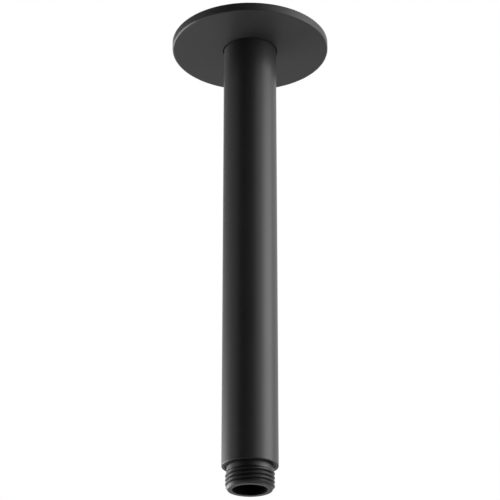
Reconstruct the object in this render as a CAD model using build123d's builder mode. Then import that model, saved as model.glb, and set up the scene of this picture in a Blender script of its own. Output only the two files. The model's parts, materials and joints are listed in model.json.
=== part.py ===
"""A straight ceiling shower arm with a round cover flange.

The ceiling is the plane Z = 0, Z points up, and the arm hangs down along the Z axis.
Water comes in at the inlet nipple, which stands above the ceiling, and leaves at the
outlet nipple at the bottom, where a shower head screws on. Both nipples are brazed into
the tube. The flange slides up the tube to cover the hole in the ceiling, and a rubber
ring in its bore holds it there. All sizes are in millimetres.
"""

import os

from build123d import *

# Tube
tube_diameter = 24.2
tube_wall = 1.4
tube_drop = 206.3
tube_rise = 2.0
tube_edge_round = 0.3
tube_deburr = 0.3

# Pipe thread G 1/2, drawn as a plain cylinder at its major diameter
thread_diameter = 20.955
inlet_thread_length = 9.9
outlet_thread_length = 7.6
thread_lead_length = 1.4
thread_lead_depth = 1.0

# Nipples
nipple_bore = 14.8
neck_diameter = 19.85
inlet_neck_length = 2.1
outlet_neck_length = 2.5
shoulder_recess = 0.7
plug_length = 11.0
nipple_deburr = 0.15
braze_gap = 0.05

# Cover flange
flange_diameter = 72.1
flange_thickness = 4.15
flange_edge_round = 0.8
flange_back_round = 0.3
flange_bore_deburr = 0.2
flange_clearance = 0.3

# Rubber ring in the flange's bore
ring_section = 2.0
ring_clearance = 0.05
groove_side_clearance = 0.2

# Radii worked out from the sizes above
tube_radius = tube_diameter / 2
tube_bore_radius = tube_radius - tube_wall
thread_radius = thread_diameter / 2
neck_radius = neck_diameter / 2
nipple_bore_radius = nipple_bore / 2
plug_radius = tube_bore_radius - braze_gap
flange_radius = flange_diameter / 2
flange_bore_radius = tube_radius + flange_clearance
ring_inner_radius = tube_radius + ring_clearance
ring_centre_radius = ring_inner_radius + ring_section / 2
groove_radius = ring_inner_radius + ring_section + ring_clearance
groove_width = ring_section + 2 * groove_side_clearance

# Half-section planes of the nipples: X is the radius, and Y points out of the tube's end
inlet_section = Plane(origin=(0, 0, tube_rise), x_dir=(1, 0, 0), z_dir=(0, -1, 0))
outlet_section = Plane(origin=(0, 0, -tube_drop), x_dir=(1, 0, 0), z_dir=(0, 1, 0))


def draw_nipple(neck_length, thread_length):
    """Draw a nipple's half section: a plug in the tube, a plain neck, then the thread."""
    plug_end = -shoulder_recess - plug_length
    thread_start = neck_length + thread_radius - neck_radius
    thread_end = neck_length + thread_length
    Polyline(
        (nipple_bore_radius, plug_end),
        (plug_radius - nipple_deburr, plug_end),
        (plug_radius, plug_end + nipple_deburr),
        (plug_radius, -shoulder_recess),
        (neck_radius, -shoulder_recess),
        (neck_radius, neck_length),
        (thread_radius, thread_start),
        (thread_radius, thread_end - thread_lead_length),
        (thread_radius - thread_lead_depth, thread_end),
        (nipple_bore_radius + nipple_deburr, thread_end),
        (nipple_bore_radius, thread_end - nipple_deburr),
        close=True,
    )


# Arm tube: open at both ends, with its lower outer rim rounded
with BuildPart() as arm_tube:
    with BuildSketch(Plane.XY.offset(-tube_drop)):
        Circle(tube_radius)
        Circle(tube_bore_radius, mode=Mode.SUBTRACT)
    extrude(amount=tube_drop + tube_rise)
    tube_top = arm_tube.faces().sort_by(Axis.Z)[-1]
    tube_mouth = arm_tube.faces().sort_by(Axis.Z)[0]
    chamfer(tube_top.edges() + tube_mouth.inner_wires().edges(), tube_deburr)
    fillet(tube_mouth.outer_wire().edges(), tube_edge_round)
arm_tube.part.label = "arm_tube"

# Inlet nipple: stands up into the ceiling
with BuildPart() as inlet_nipple:
    with BuildSketch(inlet_section):
        with BuildLine():
            draw_nipple(inlet_neck_length, inlet_thread_length)
        make_face()
    revolve(axis=Axis.Z)
inlet_nipple.part.label = "inlet_nipple"

# Outlet nipple: carries the shower head
with BuildPart() as outlet_nipple:
    with BuildSketch(outlet_section):
        with BuildLine():
            draw_nipple(outlet_neck_length, outlet_thread_length)
        make_face()
    revolve(axis=Axis.Z)
outlet_nipple.part.label = "outlet_nipple"

# Cover flange: a flat disc with a groove for the rubber ring in its bore
with BuildPart() as ceiling_flange:
    with BuildSketch(Plane.XY.offset(-flange_thickness)):
        Circle(flange_radius)
        Circle(flange_bore_radius, mode=Mode.SUBTRACT)
    extrude(amount=flange_thickness)
    flange_back = ceiling_flange.faces().sort_by(Axis.Z)[-1]
    flange_front = ceiling_flange.faces().sort_by(Axis.Z)[0]
    bore_rims = flange_back.inner_wires().edges() + flange_front.inner_wires().edges()
    chamfer(bore_rims, flange_bore_deburr)
    fillet(flange_back.outer_wire().edges(), flange_back_round)
    fillet(flange_front.outer_wire().edges(), flange_edge_round)
    with BuildSketch(Plane.XY.offset(-(flange_thickness + groove_width) / 2)):
        Circle(groove_radius)
    extrude(amount=groove_width, mode=Mode.SUBTRACT)
ceiling_flange.part.label = "ceiling_flange"

# Rubber ring: round in section, in the middle of the flange's groove
with BuildPart() as flange_o_ring:
    with BuildSketch(Plane.XZ):
        with Locations((ring_centre_radius, -flange_thickness / 2)):
            Circle(ring_section / 2)
    revolve(axis=Axis.Z)
flange_o_ring.part.label = "flange_o_ring"

os.makedirs("parts", exist_ok=True)
export_step(arm_tube.part, "parts/arm_tube.step")
export_step(inlet_nipple.part, "parts/inlet_nipple.step")
export_step(outlet_nipple.part, "parts/outlet_nipple.step")
export_step(ceiling_flange.part, "parts/ceiling_flange.step")
export_step(flange_o_ring.part, "parts/flange_o_ring.step")
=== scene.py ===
"""A satin black ceiling shower arm, seen from below in a plain light studio.

The tube, the cover flange and the rubber ring keep their solids, and get their finish here.
Both nipples are modelled again, because they carry the G 1/2 pipe threads that the solids
leave plain. Everything is in metres, in the place that the frame gives.
"""

import json
import math

import bpy
from bpy.props import FloatProperty, FloatVectorProperty, IntProperty, PointerProperty
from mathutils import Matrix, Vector


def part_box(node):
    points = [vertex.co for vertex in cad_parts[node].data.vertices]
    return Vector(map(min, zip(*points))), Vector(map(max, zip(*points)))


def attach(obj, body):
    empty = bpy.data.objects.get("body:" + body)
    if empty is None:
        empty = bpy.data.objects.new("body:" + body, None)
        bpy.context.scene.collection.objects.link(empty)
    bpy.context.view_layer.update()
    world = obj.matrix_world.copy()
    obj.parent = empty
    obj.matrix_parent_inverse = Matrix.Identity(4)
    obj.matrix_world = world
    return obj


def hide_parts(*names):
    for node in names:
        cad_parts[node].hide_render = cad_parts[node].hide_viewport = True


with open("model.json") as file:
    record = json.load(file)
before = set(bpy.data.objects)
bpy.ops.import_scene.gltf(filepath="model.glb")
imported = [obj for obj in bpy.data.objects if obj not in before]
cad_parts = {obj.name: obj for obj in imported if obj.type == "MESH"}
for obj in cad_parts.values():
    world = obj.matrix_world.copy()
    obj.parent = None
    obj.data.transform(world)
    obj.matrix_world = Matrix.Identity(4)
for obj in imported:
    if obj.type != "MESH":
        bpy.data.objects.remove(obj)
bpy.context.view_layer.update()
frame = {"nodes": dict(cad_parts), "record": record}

bl_info = {
    "name": "Ceiling shower arm",
    "version": (1, 0, 0),
    "blender": (4, 5, 0),
    "location": "View3D > Sidebar > Shower Arm",
    "description": "Dresses a black ceiling shower arm: pipe threads, satin coating and studio",
    "category": "Object",
}

MILLIMETRE = 0.001
MOUNTS = {mount["name"]: mount for mount in frame["record"]["mounts"]}
TUBE_LOW, TUBE_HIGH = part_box("arm_tube")
FLANGE_LOW, FLANGE_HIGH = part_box("ceiling_flange")
PLUG_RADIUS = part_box("outlet_nipple")[1].x
THREAD_RADIUS = MOUNTS["outlet_thread"]["dims"]["r_mm"] * MILLIMETRE

# Mesh limits: points this close are one point, and edges that bend less are shaded smooth
MERGE_DISTANCE = 0.001 * MILLIMETRE
SMOOTH_ANGLE = math.radians(35)

# Grain of a surface: sizes of its grain and ripple, the ripple's share, and the bump they make
COATING_GRAIN = {
    "size": 0.18 * MILLIMETRE,
    "ripple": 1.6 * MILLIMETRE,
    "share": 0.6,
    "strength": 0.5,
    "height": 0.006 * MILLIMETRE,
}
THREAD_GRAIN = {**COATING_GRAIN, "strength": 0.35}
BORE_GRAIN = {
    "size": 0.3 * MILLIMETRE,
    "ripple": 2.0 * MILLIMETRE,
    "share": 0.8,
    "strength": 0.6,
    "height": 0.02 * MILLIMETRE,
}
RUBBER_GRAIN = {
    "size": 0.12 * MILLIMETRE,
    "ripple": 0.9 * MILLIMETRE,
    "share": 0.4,
    "strength": 0.5,
    "height": 0.01 * MILLIMETRE,
}

# Drift of a surface: size of its patches, and how far its colour and roughness swing
COATING_DRIFT = {"size": 30.0 * MILLIMETRE, "colour": 0.25, "roughness": 0.06}
BORE_DRIFT = {"size": 8.0 * MILLIMETRE, "colour": 0.5, "roughness": 0.1}
RUBBER_DRIFT = {"size": 5.0 * MILLIMETRE, "colour": 0.4, "roughness": 0.12}

# Roughness and mirror strength inside the bore and on the rubber
BORE_ROUGHNESS = 0.7
BORE_SPECULAR = 0.1
RUBBER_ROUGHNESS = 0.62
RUBBER_SPECULAR = 0.4

# Rims painted lighter and shinier, partly wear and partly painted highlight: width and strength of
# each, and what the mark changes
TUBE_WEAR_AND_HIGHLIGHT = (0.9 * MILLIMETRE, 0.5)
MOUTH_WEAR_AND_HIGHLIGHT = (0.5 * MILLIMETRE, 0.7)
FLANGE_WEAR_AND_HIGHLIGHT = (1.0 * MILLIMETRE, 0.4)
WEAR_AND_HIGHLIGHT_ROUGHNESS_CHANGE = -0.12
WEAR_AND_HIGHLIGHT_NOISE_SCALE = 900.0

# Sockets of a Mix node that mixes colours
MIX_FACTOR, MIX_FIRST, MIX_SECOND, MIX_RESULT = 0, 6, 7, 2

# Lamps: azimuth and elevation in degrees and distance from the arm's middle, and size
RIGHT_LAMP_PLACE = (78, 4, 1.2)
RIGHT_LAMP_SIZE = (0.95, 1.3)
LEFT_LAMP_PLACE = (-122, -12, 1.2)
LEFT_LAMP_SIZE = (1.1, 1.0)

# Curtains: sweep from the front in degrees, lowest and highest point, distance, and grey shade
FRONT_CURTAIN = {"sweep": (-55, 26), "heights": (-1.09, 1.5), "distance": 0.5, "shade": 0.04}
LEFT_CURTAIN = {"sweep": (-150, -60), "heights": (0.09, 1.5), "distance": 0.9, "shade": 0.5}
CURTAIN_SEGMENTS = 72
CURTAIN_MARGIN = 1
CLOTH_SPECULAR = 0.1

# Shades of the studio floor: as it lights the arm, and paler where the camera sees it
FLOOR_SHADE = 0.61
FLOOR_SEEN_SHADE = 0.95
FLOOR_SEGMENTS = 96

# Roughness of the floor and the curtains, the world's soft level, and the camera's near limit
MATT_ROUGHNESS = 0.9
WORLD_LEVEL = 0.65
CAMERA_NEAR = 0.01


def length(name, description, default):
    """A length in metres, for a property group."""
    return FloatProperty(
        name=name, description=description, default=default, unit="LENGTH", precision=5
    )


class ShowerArmThread(bpy.types.PropertyGroup):
    """The pipe thread that both nipples carry."""

    major_radius: length("Major radius", "Radius over the thread's crests", THREAD_RADIUS)
    pitch: length("Pitch", "Distance from crest to crest, 14 to the inch", 25.4 * MILLIMETRE / 14)
    flank_angle: FloatProperty(
        name="Flank angle",
        description="Half of the groove's angle",
        default=math.radians(27.5),
        subtype="ANGLE",
    )
    first_groove: length(
        "First groove", "From the nipple's end to the first groove, on the front", 1.93 * MILLIMETRE
    )
    run_out: FloatProperty(
        name="Run-out",
        description="Share of a turn over which the groove fades away at the neck",
        default=0.12,
    )
    rings_per_pitch: IntProperty(
        name="Rings per pitch", description="Mesh rings in one pitch", default=24, min=8
    )


class ShowerArmNipple(bpy.types.PropertyGroup):
    """The turned shape of both nipples."""

    plug_radius: length("Plug radius", "Radius of the plug inside the tube", PLUG_RADIUS)
    plug_length: length("Plug length", "Length of the plug inside the tube", 11.0 * MILLIMETRE)
    shoulder_recess: length(
        "Shoulder recess", "How deep the shoulder lies inside the tube's end", 0.7 * MILLIMETRE
    )
    neck_radius: length("Neck radius", "Radius of the plain neck", 9.925 * MILLIMETRE)
    inlet_neck_length: length(
        "Inlet neck", "From the tube's upper end to the thread", 2.1 * MILLIMETRE
    )
    outlet_neck_length: length(
        "Outlet neck", "From the tube's lower end to the thread", 2.5 * MILLIMETRE
    )
    bore_radius: length("Bore radius", "Radius of the waterway", 7.4 * MILLIMETRE)
    lead_length: length("Lead length", "Length of the chamfer on the thread", 1.4 * MILLIMETRE)
    lead_depth: length("Lead depth", "Depth of the chamfer on the thread", 1.0 * MILLIMETRE)
    deburr: length("Deburring", "Small chamfer on the bore and the plug", 0.15 * MILLIMETRE)
    segments: IntProperty(
        name="Segments", description="Mesh segments round the nipple", default=192, min=24
    )


class ShowerArmFinish(bpy.types.PropertyGroup):
    """The black coating, the waterway painted near black as painted shade, and the rubber."""

    coating_colour: FloatVectorProperty(
        name="Coating",
        description="Colour of the coating",
        default=(0.020, 0.020, 0.0202),
        subtype="COLOR",
    )
    # Painted shade: the threads' coating is painted darker than the rest, standing in for the shade
    # in their grooves
    thread_painted_shade_colour: FloatVectorProperty(
        name="Threads",
        description="Colour of the coating on the threads, where it lies thicker",
        default=(0.0115, 0.0115, 0.0116),
        subtype="COLOR",
    )
    coating_roughness: FloatProperty(
        name="Roughness", description="Roughness of the coating", default=0.39, subtype="FACTOR"
    )
    flange_roughness: FloatProperty(
        name="Flange roughness",
        description="Roughness of the coating on the flange, which is sprayed flatter",
        default=0.46,
        subtype="FACTOR",
    )
    coating_specular: FloatProperty(
        name="Specular level",
        description="Mirror strength of the coating",
        default=0.5,
        subtype="FACTOR",
    )
    # Partly wear, partly painted highlight: the rims are painted a little lighter, as where light
    # catches an edge
    wear_and_highlight_colour: FloatVectorProperty(
        name="Rubbed edge",
        description="Colour of the coating where handling has polished an edge",
        default=(0.03, 0.03, 0.03),
        subtype="COLOR",
    )
    # Painted shade: the bore is painted near black, with a weak mirror, so that the deep hole reads
    # as shade
    bore_painted_shade_colour: FloatVectorProperty(
        name="Waterway",
        description="Colour inside the bore",
        default=(0.003, 0.003, 0.003),
        subtype="COLOR",
    )
    rubber_colour: FloatVectorProperty(
        name="Rubber",
        description="Colour of the rubber ring",
        default=(0.010, 0.010, 0.010),
        subtype="COLOR",
    )


class ShowerArmStudio(bpy.types.PropertyGroup):
    """The camera, the lamps and the floor."""

    lens: FloatProperty(name="Lens", description="Focal length in millimetres", default=135.9)
    camera_distance: length("Camera distance", "From the arm's axis, along the floor", 0.7572)
    camera_drop: length("Camera drop", "How far the camera is below the ceiling", 0.4579)
    camera_pitch: FloatProperty(
        name="Camera pitch",
        description="How far the camera looks up",
        default=math.radians(24.937),
        subtype="ANGLE",
    )
    floor_drop: length("Floor drop", "How far the floor is below the ceiling", 1.1)
    floor_radius: length("Floor radius", "How far the floor reaches", 5.0)
    right_power: FloatProperty(
        name="Right lamp", description="Power of the lamp at the right", default=12.5
    )
    left_power: FloatProperty(
        name="Left lamp", description="Power of the lamp behind the left", default=18.3
    )


def settings():
    """The property groups that hold the arm's sizes and colours."""
    return bpy.context.scene.shower_arm


class ShowerArmSettings(bpy.types.PropertyGroup):
    """All that can be set on the arm."""

    thread: PointerProperty(type=ShowerArmThread)
    nipple: PointerProperty(type=ShowerArmNipple)
    finish: PointerProperty(type=ShowerArmFinish)
    studio: PointerProperty(type=ShowerArmStudio)


# Shader node helpers


def add_node(tree, kind, inputs=None, **options):
    """Add a shader node, with its options and its unlinked inputs set."""
    node = tree.nodes.new(kind)
    for option, value in options.items():
        setattr(node, option, value)
    for socket, value in (inputs or {}).items():
        node.inputs[socket].default_value = value
    return node


def add_math(tree, operation, first, second=None, third=None, clamp=False):
    """Add a Math node, whose operands are numbers or sockets, and return its output."""
    node = add_node(tree, "ShaderNodeMath", operation=operation, use_clamp=clamp)
    for index, operand in enumerate((first, second, third)):
        if operand is None:
            continue
        if isinstance(operand, (int, float)):
            node.inputs[index].default_value = operand
        else:
            tree.links.new(operand, node.inputs[index])
    return node.outputs[0]


def new_group(name, inputs, outputs):
    """Start a shader node group.

    inputs map a socket's name to its type and default, and outputs map it to its type.
    """
    tree = bpy.data.node_groups.new(name, "ShaderNodeTree")
    for socket, (kind, default) in inputs.items():
        made = tree.interface.new_socket(socket, in_out="INPUT", socket_type=kind)
        if default is not None:
            made.default_value = default
    for socket, kind in outputs.items():
        tree.interface.new_socket(socket, in_out="OUTPUT", socket_type=kind)
    return tree, tree.nodes.new("NodeGroupInput").outputs, tree.nodes.new("NodeGroupOutput").inputs


def make_grain_group():
    """Fine grain over a broader ripple, as a sprayed and baked coating has.

    Puts out a height and a mask.
    """
    tree, given, result = new_group(
        "Coating grain",
        {
            "Vector": ("NodeSocketVector", None),
            "Grain Size": ("NodeSocketFloat", 0.2 * MILLIMETRE),
            "Ripple Size": ("NodeSocketFloat", 1.4 * MILLIMETRE),
            "Ripple Share": ("NodeSocketFloat", 0.5),
        },
        {"Height": "NodeSocketFloat", "Mask": "NodeSocketFloat"},
    )
    grain = add_node(tree, "ShaderNodeTexNoise", {"Detail": 3.0, "Roughness": 0.6})
    ripple = add_node(tree, "ShaderNodeTexNoise", {"Detail": 1.0, "Roughness": 0.4})
    for noise, size in ((grain, "Grain Size"), (ripple, "Ripple Size")):
        tree.links.new(given["Vector"], noise.inputs["Vector"])
        tree.links.new(add_math(tree, "DIVIDE", 1.0, given[size]), noise.inputs["Scale"])
    height = add_math(
        tree, "MULTIPLY_ADD", ripple.outputs["Fac"], given["Ripple Share"], grain.outputs["Fac"]
    )
    tree.links.new(height, result["Height"])
    tree.links.new(grain.outputs["Fac"], result["Mask"])
    return tree


def make_drift_group():
    """Slow change of tone over a surface. Puts out a colour and a roughness."""
    tree, given, result = new_group(
        "Tone drift",
        {
            "Vector": ("NodeSocketVector", None),
            "Patch Size": ("NodeSocketFloat", 25.0 * MILLIMETRE),
            "Colour": ("NodeSocketColor", (0.012, 0.012, 0.012, 1.0)),
            "Colour Drift": ("NodeSocketFloat", 0.15),
            "Roughness": ("NodeSocketFloat", 0.42),
            "Roughness Drift": ("NodeSocketFloat", 0.05),
            "Grain": ("NodeSocketFloat", 0.5),
        },
        {"Colour": "NodeSocketColor", "Roughness": "NodeSocketFloat"},
    )
    patches = add_node(tree, "ShaderNodeTexNoise", {"Detail": 4.0, "Roughness": 0.55})
    tree.links.new(given["Vector"], patches.inputs["Vector"])
    tree.links.new(add_math(tree, "DIVIDE", 1.0, given["Patch Size"]), patches.inputs["Scale"])
    swing = add_math(tree, "SUBTRACT", patches.outputs["Fac"], 0.5)
    value = add_math(tree, "MULTIPLY_ADD", swing, given["Colour Drift"], 1.0)
    tone = add_node(tree, "ShaderNodeHueSaturation")
    tree.links.new(given["Colour"], tone.inputs["Color"])
    tree.links.new(value, tone.inputs["Value"])
    tree.links.new(tone.outputs["Color"], result["Colour"])
    speckle = add_math(tree, "SUBTRACT", given["Grain"], 0.5)
    both = add_math(tree, "ADD", swing, speckle)
    rough = add_math(tree, "MULTIPLY_ADD", both, given["Roughness Drift"], given["Roughness"])
    tree.links.new(rough, result["Roughness"])
    return tree


def make_wear_and_highlight_group():
    """A rim mark, partly wear and partly painted highlight: a mask round the ring at one radius and
    height, broken up by noise.
    """
    tree, given, result = new_group(
        "Rim wear and highlight",
        {
            "Vector": ("NodeSocketVector", None),
            "Radius": ("NodeSocketFloat", 0.01),
            "Height": ("NodeSocketFloat", 0.0),
            "Width": ("NodeSocketFloat", 0.4 * MILLIMETRE),
            "Amount": ("NodeSocketFloat", 0.5),
        },
        {"Mask": "NodeSocketFloat"},
    )
    place = add_node(tree, "ShaderNodeSeparateXYZ")
    tree.links.new(given["Vector"], place.inputs[0])
    flat = add_node(tree, "ShaderNodeCombineXYZ")
    tree.links.new(place.outputs["X"], flat.inputs["X"])
    tree.links.new(place.outputs["Y"], flat.inputs["Y"])
    reach = add_node(tree, "ShaderNodeVectorMath", operation="LENGTH")
    tree.links.new(flat.outputs[0], reach.inputs[0])
    section = add_node(tree, "ShaderNodeCombineXYZ")
    outward = add_math(tree, "SUBTRACT", reach.outputs["Value"], given["Radius"])
    upward = add_math(tree, "SUBTRACT", place.outputs["Z"], given["Height"])
    tree.links.new(outward, section.inputs["X"])
    tree.links.new(upward, section.inputs["Y"])
    distance = add_node(tree, "ShaderNodeVectorMath", operation="LENGTH")
    tree.links.new(section.outputs[0], distance.inputs[0])
    far = add_math(tree, "DIVIDE", distance.outputs["Value"], given["Width"])
    near = add_math(tree, "SUBTRACT", 1.0, far, clamp=True)
    noise = add_node(tree, "ShaderNodeTexNoise", {"Scale": WEAR_AND_HIGHLIGHT_NOISE_SCALE, "Detail": 4.0})
    tree.links.new(given["Vector"], noise.inputs["Vector"])
    broken = add_math(tree, "MULTIPLY", near, noise.outputs["Fac"])
    tree.links.new(add_math(tree, "MULTIPLY", broken, given["Amount"], clamp=True), result["Mask"])
    return tree


def shared_group(name, maker):
    """The node group of that name, built at its first use."""
    return bpy.data.node_groups.get(name) or maker()


def place_group(tree, name, maker, position, values):
    """Put a shared group in a material, reading its position, with its own values."""
    node = add_node(tree, "ShaderNodeGroup", node_tree=shared_group(name, maker))
    tree.links.new(position, node.inputs["Vector"])
    for socket, value in values.items():
        node.inputs[socket].default_value = value
    return node


def start_material(name, inputs):
    """Start a material on one Principled shader, with its unlinked inputs set."""
    material = bpy.data.materials.new(name)
    material.use_nodes = True
    tree = material.node_tree
    tree.nodes.clear()
    output = add_node(tree, "ShaderNodeOutputMaterial")
    shader = add_node(tree, "ShaderNodeBsdfPrincipled", inputs)
    tree.links.new(shader.outputs[0], output.inputs["Surface"])
    return material, tree, shader


def build_material(name, colour, roughness, specular, grain, drift, rims=(), wear_and_highlight=None):
    """A grained, slightly uneven material. rims are (radius, height, width, amount) of rims painted
    lighter, partly wear and partly painted highlight.
    """
    material, tree, shader = start_material(
        name, {"Specular IOR Level": specular, "Metallic": 0.0}
    )
    material.diffuse_color = (*colour, 1.0)
    position = add_node(tree, "ShaderNodeTexCoord").outputs["Object"]
    grained = place_group(
        tree,
        "Coating grain",
        make_grain_group,
        position,
        {"Grain Size": grain["size"], "Ripple Size": grain["ripple"], "Ripple Share": grain["share"]},
    )
    drifted = place_group(
        tree,
        "Tone drift",
        make_drift_group,
        position,
        {
            "Patch Size": drift["size"],
            "Colour": (*colour, 1.0),
            "Colour Drift": drift["colour"],
            "Roughness": roughness,
            "Roughness Drift": drift["roughness"],
        },
    )
    tree.links.new(grained.outputs["Mask"], drifted.inputs["Grain"])
    tint = drifted.outputs["Colour"]
    rough = drifted.outputs["Roughness"]
    for radius, height, width, amount in rims:
        rim = place_group(
            tree,
            "Rim wear and highlight",
            make_wear_and_highlight_group,
            position,
            {"Radius": radius, "Height": height, "Width": width, "Amount": amount},
        )
        # Mix in the lighter rim colour: partly wear, partly painted highlight
        mix = add_node(tree, "ShaderNodeMix", data_type="RGBA")
        tree.links.new(rim.outputs["Mask"], mix.inputs[MIX_FACTOR])
        tree.links.new(tint, mix.inputs[MIX_FIRST])
        mix.inputs[MIX_SECOND].default_value = (*wear_and_highlight, 1.0)
        tint = mix.outputs[MIX_RESULT]
        rough = add_math(tree, "MULTIPLY_ADD", rim.outputs["Mask"], WEAR_AND_HIGHLIGHT_ROUGHNESS_CHANGE, rough)
    tree.links.new(tint, shader.inputs["Base Color"])
    tree.links.new(rough, shader.inputs["Roughness"])
    bump = add_node(
        tree, "ShaderNodeBump", {"Strength": grain["strength"], "Distance": grain["height"]}
    )
    tree.links.new(grained.outputs["Height"], bump.inputs["Height"])
    tree.links.new(bump.outputs["Normal"], shader.inputs["Normal"])
    return material


def coating(name, colour, roughness, rims, grain=COATING_GRAIN):
    """The satin black coating, with rims painted lighter and shinier, partly wear and partly painted
    highlight.
    """
    finish = settings().finish
    return build_material(
        name,
        colour,
        roughness,
        finish.coating_specular,
        grain,
        COATING_DRIFT,
        rims=rims,
        wear_and_highlight=finish.wear_and_highlight_colour,
    )


def finish_node(node, material):
    """Give a solid of the frame its material."""
    piece = frame["nodes"][node]
    for material_slot in piece.material_slots:
        material_slot.material = material


# Mesh helpers


def select_nothing():
    """Leave object mode with nothing selected."""
    if bpy.context.object and bpy.context.object.mode != "OBJECT":
        bpy.ops.object.mode_set(mode="OBJECT")
    bpy.ops.object.select_all(action="DESELECT")


def add_circle(name, segments, radius, height, fill="NOTHING"):
    """Add a circle round the arm's axis."""
    select_nothing()
    bpy.ops.mesh.primitive_circle_add(
        vertices=segments, radius=radius, location=(0, 0, height), fill_type=fill
    )
    piece = bpy.context.active_object
    piece.name = name
    bpy.ops.object.transform_apply(location=True, rotation=True, scale=True)
    return piece


def turn_body(name, outline, segments):
    """Model a turned body: a circle is extruded along a closed outline of (radius, height)."""
    radius, height = outline[0]
    piece = add_circle(name, segments, radius, height)
    piece.data.name = name
    bpy.ops.object.mode_set(mode="EDIT")
    bpy.ops.mesh.select_all(action="SELECT")
    for next_radius, next_height in outline[1:] + outline[:1]:
        share = next_radius / radius
        bpy.ops.mesh.extrude_edges_move(
            TRANSFORM_OT_translate={"value": (0, 0, next_height - height)}
        )
        bpy.ops.transform.resize(value=(share, share, 1), center_override=(0, 0, 0))
        radius, height = next_radius, next_height
    bpy.ops.mesh.select_all(action="SELECT")
    bpy.ops.mesh.remove_doubles(threshold=MERGE_DISTANCE)
    bpy.ops.mesh.normals_make_consistent(inside=False)
    bpy.ops.object.mode_set(mode="OBJECT")
    return piece


# Nipples


def nipple_radius(past_neck, to_end):
    """Radius of a nipple outside the tube, at a distance past its neck and short of its end."""
    nipple = settings().nipple
    thread = settings().thread
    slope = nipple.neck_radius + max(past_neck, 0)
    lead = thread.major_radius - nipple.lead_depth * max(1 - to_end / nipple.lead_length, 0)
    return min(slope, lead, thread.major_radius)


def nipple_outline(tube_end, end, neck_length):
    """Closed outline of a nipple, from its shoulder along the thread and back through the bore."""
    nipple = settings().nipple
    thread = settings().thread
    way = 1 if end > tube_end else -1
    reach = abs(end - tube_end)
    plug_end = -nipple.shoulder_recess - nipple.plug_length
    ring_step = thread.pitch / thread.rings_per_pitch
    ring_count = math.ceil(reach / ring_step)
    outline = [(nipple.neck_radius, -nipple.shoulder_recess)]
    for index in range(ring_count + 1):
        at = reach * index / ring_count
        outline.append((nipple_radius(at - neck_length, reach - at), at))
    outline += [
        (nipple.bore_radius + nipple.deburr, reach),
        (nipple.bore_radius, reach - nipple.deburr),
        (nipple.bore_radius, plug_end),
        (nipple.plug_radius - nipple.deburr, plug_end),
        (nipple.plug_radius, plug_end + nipple.deburr),
        (nipple.plug_radius, -nipple.shoulder_recess),
    ]
    return [(radius, tube_end + way * at) for radius, at in outline]


def groove_height(offset, thread):
    """Height of the thread's flank over its root, at an axial offset from a groove's middle."""
    triangle = thread.pitch / (2 * math.tan(thread.flank_angle))
    depth = triangle * 2 / 3
    rounding = triangle / 6 / (1 / math.sin(thread.flank_angle) - 1)
    tangent = rounding * math.cos(thread.flank_angle)
    from_crest = thread.pitch / 2 - offset
    if offset < tangent:
        return rounding - math.sqrt(rounding**2 - offset**2)
    if from_crest < tangent:
        return depth - rounding + math.sqrt(rounding**2 - from_crest**2)
    return offset / math.tan(thread.flank_angle) - triangle / 6


def cut_thread(piece, tube_end, end, neck_length):
    """Press the right-hand groove into a nipple's outside. It fades away where it meets the neck."""
    nipple = settings().nipple
    thread = settings().thread
    way = 1 if end > tube_end else -1
    reach = abs(end - tube_end)
    last_turn = (reach - neck_length - thread.first_groove) / thread.pitch
    depth = thread.pitch / (3 * math.tan(thread.flank_angle))
    root_radius = thread.major_radius - depth
    for vertex in piece.data.vertices:
        radius = math.hypot(vertex.co.x, vertex.co.y)
        to_end = way * (end - vertex.co.z)
        if radius <= nipple.bore_radius + 2 * nipple.deburr or to_end > reach:
            continue
        side = math.atan2(vertex.co.x, -vertex.co.y) / (2 * math.pi)
        turns = (to_end - thread.first_groove) / thread.pitch
        nearest = round(turns + way * side)
        offset = abs(turns + way * side - nearest) * thread.pitch
        fade = min(max(1 - (last_turn - nearest + way * side) / thread.run_out, 0), 1)
        lift = depth * fade**2 * (3 - 2 * fade)
        groove = root_radius + groove_height(offset, thread) + lift
        if groove < radius:
            vertex.co.x *= groove / radius
            vertex.co.y *= groove / radius


def sharpen_end(piece, end):
    """Keep the flat end face flat in its shading, also where a groove's flank runs out into it."""
    for edge in piece.data.edges:
        heights = [piece.data.vertices[index].co.z for index in edge.vertices]
        if max(abs(height - end) for height in heights) < MERGE_DISTANCE:
            edge.use_edge_sharp = True


def build_nipple(node, tube_end, end, neck_length, materials):
    """Model a nipple with its thread in place of its solid.

    materials are the one for its outside and the one for its bore.
    """
    nipple = settings().nipple
    outline = nipple_outline(tube_end, end, neck_length)
    piece = turn_body(f"{node}_threaded", outline, nipple.segments)
    cut_thread(piece, tube_end, end, neck_length)
    for material in materials:
        piece.data.materials.append(material)
    # Faces inside the bore take the second material, painted near black as painted shade
    inside = nipple.bore_radius + nipple.deburr / 2
    for face in piece.data.polygons:
        middle = face.center
        face.material_index = 1 if math.hypot(middle.x, middle.y) < inside else 0
    select_nothing()
    piece.select_set(True)
    bpy.context.view_layer.objects.active = piece
    bpy.ops.object.shade_smooth_by_angle(angle=SMOOTH_ANGLE)
    sharpen_end(piece, end)
    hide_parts(node)
    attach(piece, "arm")
    return piece


# Steps that dress the arm


class FinishTube(bpy.types.Operator):
    """Give the arm's tube its satin black coating, with the lower rim painted lighter, partly wear
    and partly painted highlight
    """

    bl_idname = "shower_arm.finish_tube"
    bl_label = "Finish the tube"

    def execute(self, context):
        finish = settings().finish
        rims = [(TUBE_HIGH.x, TUBE_LOW.z, *TUBE_WEAR_AND_HIGHLIGHT)]
        material = coating(
            "satin_black_tube", finish.coating_colour, finish.coating_roughness, rims
        )
        finish_node("arm_tube", material)
        return {"FINISHED"}


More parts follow.
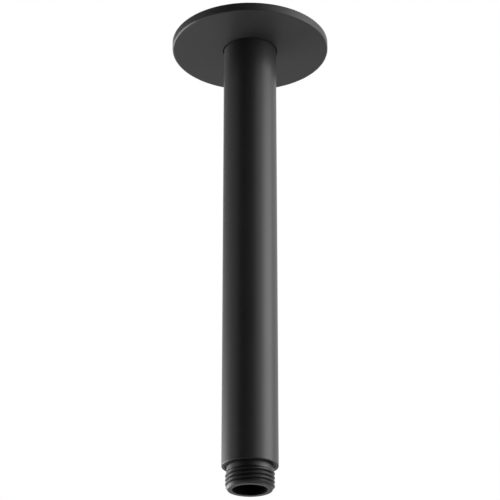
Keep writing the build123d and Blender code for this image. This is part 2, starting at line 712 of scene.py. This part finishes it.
class BuildNipples(bpy.types.Operator):
    """Model the inlet and outlet nipples with their right-hand pipe threads"""

    bl_idname = "shower_arm.build_nipples"
    bl_label = "Build the threaded nipples"

    def execute(self, context):
        finish = settings().finish
        nipple = settings().nipple
        inlet_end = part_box("inlet_nipple")[1].z
        outlet_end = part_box("outlet_nipple")[0].z
        # The bore's mouth is painted lighter: partly wear, partly painted highlight on its edge
        rims = [(nipple.bore_radius + nipple.deburr, outlet_end, *MOUTH_WEAR_AND_HIGHLIGHT)]
        # The threads take the darker colour, painted shade for their grooves
        outside = coating(
            "satin_black_thread_painted_shade", finish.thread_painted_shade_colour, finish.coating_roughness, rims, THREAD_GRAIN
        )
        # Painted shade for the bore: near black and dull
        inside = build_material(
            "painted_shade_bore",
            finish.bore_painted_shade_colour,
            BORE_ROUGHNESS,
            BORE_SPECULAR,
            BORE_GRAIN,
            BORE_DRIFT,
        )
        materials = (outside, inside)
        outlet_neck, inlet_neck = nipple.outlet_neck_length, nipple.inlet_neck_length
        build_nipple("outlet_nipple", TUBE_LOW.z, outlet_end, outlet_neck, materials)
        build_nipple("inlet_nipple", TUBE_HIGH.z, inlet_end, inlet_neck, materials)
        return {"FINISHED"}


class FinishFlange(bpy.types.Operator):
    """Give the cover flange its satin black coating, with the edge painted lighter, partly wear and
    partly painted highlight
    """

    bl_idname = "shower_arm.finish_flange"
    bl_label = "Finish the flange"

    def execute(self, context):
        finish = settings().finish
        rims = [(FLANGE_HIGH.x, FLANGE_LOW.z, *FLANGE_WEAR_AND_HIGHLIGHT)]
        material = coating(
            "satin_black_flange", finish.coating_colour, finish.flange_roughness, rims
        )
        finish_node("ceiling_flange", material)
        return {"FINISHED"}


class FinishRing(bpy.types.Operator):
    """Give the flange's ring its dull black rubber"""

    bl_idname = "shower_arm.finish_ring"
    bl_label = "Finish the rubber ring"

    def execute(self, context):
        rubber = build_material(
            "nitrile_rubber",
            settings().finish.rubber_colour,
            RUBBER_ROUGHNESS,
            RUBBER_SPECULAR,
            RUBBER_GRAIN,
            RUBBER_DRIFT,
        )
        finish_node("flange_o_ring", rubber)
        return {"FINISHED"}


# Studio


def studio_place(azimuth, elevation, distance):
    """A place round the arm's middle. The azimuth runs from the front to the right, in degrees."""
    turn, rise = math.radians(azimuth), math.radians(elevation)
    middle = (TUBE_LOW.z + TUBE_HIGH.z) / 2
    return Vector(
        (
            distance * math.sin(turn) * math.cos(rise),
            -distance * math.cos(turn) * math.cos(rise),
            middle + distance * math.sin(rise),
        )
    )


def face_middle(location):
    """The turn that points a lamp at the arm's middle."""
    middle = Vector((0, 0, (TUBE_LOW.z + TUBE_HIGH.z) / 2))
    return (middle - location).to_track_quat("-Z", "Y").to_euler()


def add_lamp(name, location, size, power):
    """Hang a soft rectangular lamp that faces the arm's middle."""
    data = bpy.data.lights.new(name, "AREA")
    data.shape = "RECTANGLE"
    data.size, data.size_y = size
    data.energy = power
    lamp = bpy.data.objects.new(name, data)
    bpy.context.scene.collection.objects.link(lamp)
    lamp.location = location
    lamp.rotation_euler = face_middle(location)
    lamp.visible_camera = False
    return lamp


def hang_curtain(name, sweep, heights, distance, shade):
    """Hang a plain curtain on a curved rail round the arm, from one azimuth to another in degrees.

    It shades the reflections in the coating. The camera looks past it.
    """
    curtain = add_circle(name, CURTAIN_SEGMENTS, distance, heights[0])
    first, last = sweep[0] - CURTAIN_MARGIN, sweep[1] + CURTAIN_MARGIN
    for edge in curtain.data.edges:
        edge.select = False
    for vertex in curtain.data.vertices:
        azimuth = math.degrees(math.atan2(vertex.co.x, -vertex.co.y))
        vertex.select = not first < azimuth < last
    bpy.ops.object.mode_set(mode="EDIT")
    bpy.ops.mesh.delete(type="VERT")
    bpy.ops.mesh.select_all(action="SELECT")
    bpy.ops.mesh.extrude_edges_move(
        TRANSFORM_OT_translate={"value": (0, 0, heights[1] - heights[0])}
    )
    bpy.ops.object.mode_set(mode="OBJECT")
    cloth = {
        "Base Color": (shade, shade, shade, 1.0),
        "Roughness": MATT_ROUGHNESS,
        "Specular IOR Level": CLOTH_SPECULAR,
    }
    curtain.data.materials.append(start_material(f"{name}_cloth", cloth)[0])
    curtain.visible_camera = False
    return curtain


def build_floor(height, radius):
    """Lay a plain pale floor."""
    floor = add_circle("studio_floor", FLOOR_SEGMENTS, radius, height, fill="NGON")
    material, tree, paint = start_material("pale_floor", {"Roughness": MATT_ROUGHNESS})
    seen = add_node(tree, "ShaderNodeLightPath").outputs["Is Camera Ray"]
    shade = add_math(tree, "MULTIPLY_ADD", seen, FLOOR_SEEN_SHADE - FLOOR_SHADE, FLOOR_SHADE)
    tree.links.new(shade, paint.inputs["Base Color"])
    floor.data.materials.append(material)
    return floor


def build_world():
    """White for the camera and in reflections, and a plain soft level for the rest."""
    world = bpy.data.worlds.new("studio_world")
    world.cycles.sampling_method = "NONE"
    bpy.context.scene.world = world
    world.use_nodes = True
    tree = world.node_tree
    tree.nodes.clear()
    output = add_node(tree, "ShaderNodeOutputWorld")
    path = add_node(tree, "ShaderNodeLightPath")
    seen = add_math(tree, "MAXIMUM", path.outputs["Is Camera Ray"], path.outputs["Is Glossy Ray"])
    seen = add_math(tree, "MAXIMUM", seen, path.outputs["Is Transmission Ray"])
    white = (1.0, 1.0, 1.0, 1.0)
    soft = add_node(tree, "ShaderNodeBackground", {"Color": white, "Strength": WORLD_LEVEL})
    bright = add_node(tree, "ShaderNodeBackground", {"Color": white, "Strength": 1.0})
    mix = add_node(tree, "ShaderNodeMixShader")
    tree.links.new(seen, mix.inputs[0])
    tree.links.new(soft.outputs[0], mix.inputs[1])
    tree.links.new(bright.outputs[0], mix.inputs[2])
    tree.links.new(mix.outputs[0], output.inputs["Surface"])


class BuildStudio(bpy.types.Operator):
    """Set up the floor, the lamps, the white surroundings and the camera"""

    bl_idname = "shower_arm.build_studio"
    bl_label = "Build the studio"

    def execute(self, context):
        studio = settings().studio
        build_floor(-studio.floor_drop, studio.floor_radius)
        build_world()
        hang_curtain("front_curtain", **FRONT_CURTAIN)
        hang_curtain("left_curtain", **LEFT_CURTAIN)
        right_place, left_place = studio_place(*RIGHT_LAMP_PLACE), studio_place(*LEFT_LAMP_PLACE)
        add_lamp("right_lamp", right_place, RIGHT_LAMP_SIZE, studio.right_power)
        add_lamp("left_lamp", left_place, LEFT_LAMP_SIZE, studio.left_power)
        camera_data = bpy.data.cameras.new("photo_camera")
        camera_data.lens = studio.lens
        camera_data.clip_start = CAMERA_NEAR
        camera = bpy.data.objects.new("photo_camera", camera_data)
        context.scene.collection.objects.link(camera)
        camera.location = (0, -studio.camera_distance, -studio.camera_drop)
        camera.rotation_euler = (math.pi / 2 + studio.camera_pitch, 0, 0)
        context.scene.camera = camera
        context.scene.view_settings.view_transform = "Standard"
        return {"FINISHED"}


class ShowerArmPanel(bpy.types.Panel):
    """Lists the arm's steps and sizes in the sidebar"""

    bl_idname = "VIEW3D_PT_shower_arm"
    bl_label = "Shower Arm"
    bl_space_type = "VIEW_3D"
    bl_region_type = "UI"
    bl_category = "Shower Arm"

    def draw(self, context):
        for step in STEPS:
            self.layout.operator(step.bl_idname)
        for group in ("thread", "nipple", "finish", "studio"):
            box = self.layout.box()
            values = getattr(settings(), group)
            for name in values.__annotations__:
                box.prop(values, name)


STEPS = (FinishTube, BuildNipples, FinishFlange, FinishRing, BuildStudio)
GROUPS = (ShowerArmThread, ShowerArmNipple, ShowerArmFinish, ShowerArmStudio, ShowerArmSettings)


def register():
    for part in (*GROUPS, *STEPS, ShowerArmPanel):
        bpy.utils.register_class(part)
    bpy.types.Scene.shower_arm = PointerProperty(type=ShowerArmSettings)


def unregister():
    del bpy.types.Scene.shower_arm
    for part in reversed((*GROUPS, *STEPS, ShowerArmPanel)):
        bpy.utils.unregister_class(part)


def main():
    register()
    bpy.ops.shower_arm.finish_tube()
    bpy.ops.shower_arm.build_nipples()
    bpy.ops.shower_arm.finish_flange()
    bpy.ops.shower_arm.finish_ring()
    bpy.ops.shower_arm.build_studio()


if __name__ == "__main__":
    main()
